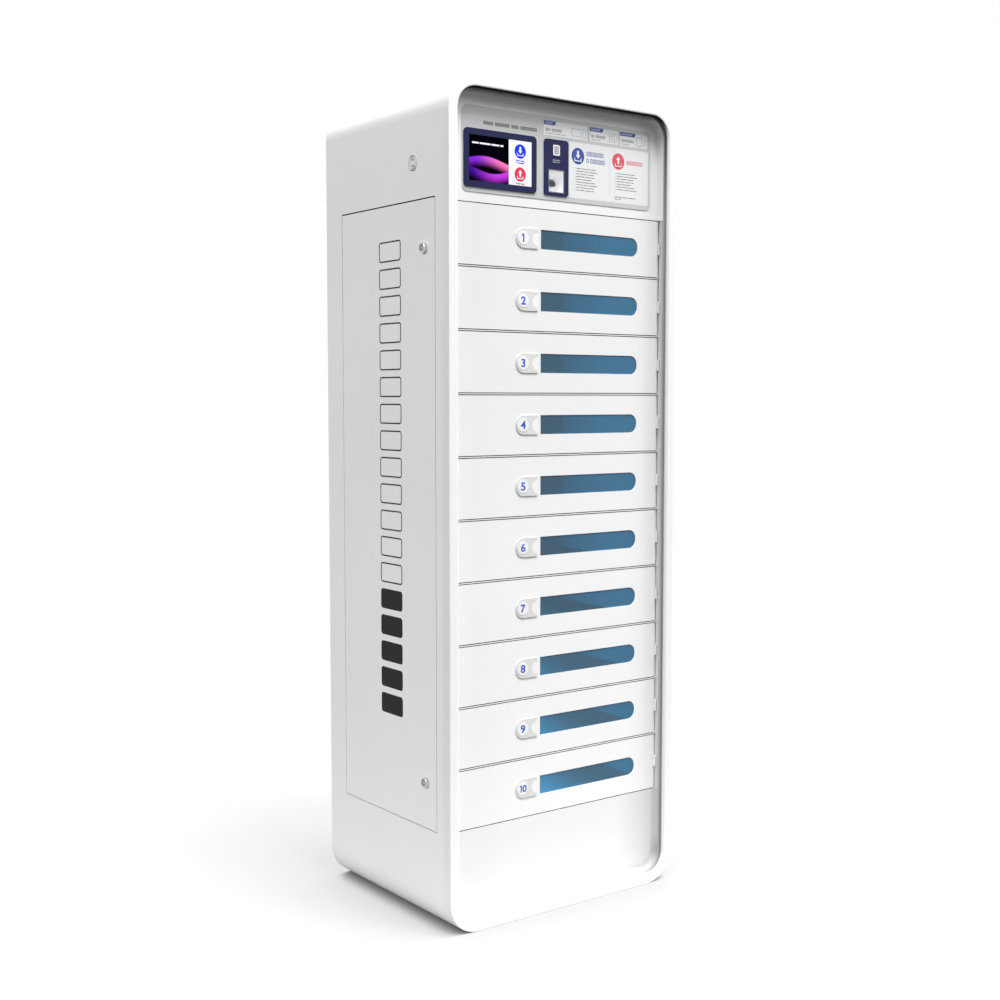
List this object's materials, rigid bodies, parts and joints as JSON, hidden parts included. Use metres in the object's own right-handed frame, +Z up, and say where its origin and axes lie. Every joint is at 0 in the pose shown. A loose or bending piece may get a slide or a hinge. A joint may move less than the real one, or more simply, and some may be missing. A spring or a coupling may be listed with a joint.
{
  "type": "laptop charging locker",
  "caption": "Floor-standing steel locker with a rounded rim, stacked windowed doors over charging bays, a touch-screen head and a locked side service door.",
  "frame": {"origin": "on the floor, under the middle of the cabinet's width and depth", "axes": "+Z up, the doors face -Y, +X to the right of someone facing the doors"},
  "size_m": [0.6785, 0.5275, 1.9],
  "materials": {
    "casing_white": "satin powder coat",
    "rim_white": "satin powder coat",
    "door_white": "satin powder coat",
    "bay_steel": "satin powder coat",
    "plated_steel": "zinc plated",
    "lock_chrome": "polished",
    "tinted_window": "tinted acrylic, glossy",
    "clear_glass": "clear, glossy",
    "screen_glass": "glossy",
    "navy_bezel": "semi-gloss",
    "printed_overlay": "semi-gloss film",
    "tag_grey": "satin",
    "black_plastic": "matt",
    "ink_white": "printed",
    "ink_blue": "printed",
    "ink_red": "printed",
    "ink_dark": "printed"
  },
  "bodies": {
    "cabinet": {"bay_back_wall": "bay_steel", "bay_shelves": "bay_steel", "bay_side_walls": "bay_steel", "casing_base": "casing_white", "casing_left": "casing_white", "casing_right": "casing_white", "casing_top": "casing_white", "control_fascia": "door_white", "display_bezel": "navy_bezel", "door_frame": "door_white", "fascia_overlay": "printed_overlay", "frame_hinge_leaves": "door_white", "front_rim": "rim_white", "hinge_pins": "plated_steel", "key_switch_bezel": "lock_chrome", "kick_panel": "door_white", "latch_locks": "plated_steel", "mains_inlet": "black_plastic", "power_supply": "plated_steel", "reader_housing": "navy_bezel", "reader_scanner": "black_plastic", "reader_window": "clear_glass", "rear_panel": "casing_white", "socket_modules": "black_plastic", "touch_screen": "screen_glass"},
    "locker_door_01": {"door_01": "door_white", "window_01": "tinted_window", "tag_01": "tag_grey"},
    "locker_door_02": {"door_02": "door_white", "window_02": "tinted_window", "tag_02": "tag_grey"},
    "locker_door_03": {"door_03": "door_white", "window_03": "tinted_window", "tag_03": "tag_grey"},
    "locker_door_04": {"door_04": "door_white", "window_04": "tinted_window", "tag_04": "tag_grey"},
    "locker_door_05": {"door_05": "door_white", "window_05": "tinted_window", "tag_05": "tag_grey"},
    "locker_door_06": {"door_06": "door_white", "window_06": "tinted_window", "tag_06": "tag_grey"},
    "locker_door_07": {"door_07": "door_white", "window_07": "tinted_window", "tag_07": "tag_grey"},
    "locker_door_08": {"door_08": "door_white", "window_08": "tinted_window", "tag_08": "tag_grey"},
    "locker_door_09": {"door_09": "door_white", "window_09": "tinted_window", "tag_09": "tag_grey"},
    "locker_door_10": {"door_10": "door_white", "window_10": "tinted_window", "tag_10": "tag_grey"},
    "service_door_leaf": {"service_door": "casing_white", "lock_sleeves": "lock_chrome"},
    "upper_cam_lock": {"upper_lock_core": "lock_chrome"},
    "lower_cam_lock": {"lower_lock_core": "lock_chrome"},
    "key_switch_barrel": {"key_switch_core": "lock_chrome"}
  },
  "joints": [
    {"name": "locker_door_01_hinge", "type": "hinge", "parent": "cabinet", "child": "locker_door_01", "pos_m": [0.3055, -0.2355, 1.56371], "axis": [0, 0, 1], "range_deg": [0, 95]},
    {"name": "locker_door_02_hinge", "type": "hinge", "parent": "cabinet", "child": "locker_door_02", "pos_m": [0.3055, -0.2355, 1.42294], "axis": [0, 0, 1], "range_deg": [0, 95]},
    {"name": "locker_door_03_hinge", "type": "hinge", "parent": "cabinet", "child": "locker_door_03", "pos_m": [0.3055, -0.2355, 1.28218], "axis": [0, 0, 1], "range_deg": [0, 95]},
    {"name": "locker_door_04_hinge", "type": "hinge", "parent": "cabinet", "child": "locker_door_04", "pos_m": [0.3055, -0.2355, 1.14141], "axis": [0, 0, 1], "range_deg": [0, 95]},
    {"name": "locker_door_05_hinge", "type": "hinge", "parent": "cabinet", "child": "locker_door_05", "pos_m": [0.3055, -0.2355, 1.00064], "axis": [0, 0, 1], "range_deg": [0, 95]},
    {"name": "locker_door_06_hinge", "type": "hinge", "parent": "cabinet", "child": "locker_door_06", "pos_m": [0.3055, -0.2355, 0.85987], "axis": [0, 0, 1], "range_deg": [0, 95]},
    {"name": "locker_door_07_hinge", "type": "hinge", "parent": "cabinet", "child": "locker_door_07", "pos_m": [0.3055, -0.2355, 0.7191], "axis": [0, 0, 1], "range_deg": [0, 95]},
    {"name": "locker_door_08_hinge", "type": "hinge", "parent": "cabinet", "child": "locker_door_08", "pos_m": [0.3055, -0.2355, 0.57833], "axis": [0, 0, 1], "range_deg": [0, 95]},
    {"name": "locker_door_09_hinge", "type": "hinge", "parent": "cabinet", "child": "locker_door_09", "pos_m": [0.3055, -0.2355, 0.43756], "axis": [0, 0, 1], "range_deg": [0, 95]},
    {"name": "locker_door_10_hinge", "type": "hinge", "parent": "cabinet", "child": "locker_door_10", "pos_m": [0.3055, -0.2355, 0.29679], "axis": [0, 0, 1], "range_deg": [0, 95]},
    {"name": "service_door_hinge", "type": "hinge", "parent": "cabinet", "child": "service_door_leaf", "pos_m": [-0.3302, 0.1794, 0.93375], "axis": [0, 0, -1], "range_deg": [0, 110]},
    {"name": "upper_cam_lock_turn", "type": "hinge", "parent": "service_door_leaf", "child": "upper_cam_lock", "pos_m": [-0.335, -0.168, 1.5332], "axis": [-1, 0, 0], "range_deg": [0, 90]},
    {"name": "lower_cam_lock_turn", "type": "hinge", "parent": "service_door_leaf", "child": "lower_cam_lock", "pos_m": [-0.335, -0.168, 0.3343], "axis": [-1, 0, 0], "range_deg": [0, 90]},
    {"name": "key_switch_turn", "type": "hinge", "parent": "cabinet", "child": "key_switch_barrel", "pos_m": [-0.335, -0.1228, 1.723], "axis": [-1, 0, 0], "range_deg": [0, 90]}
  ]
}
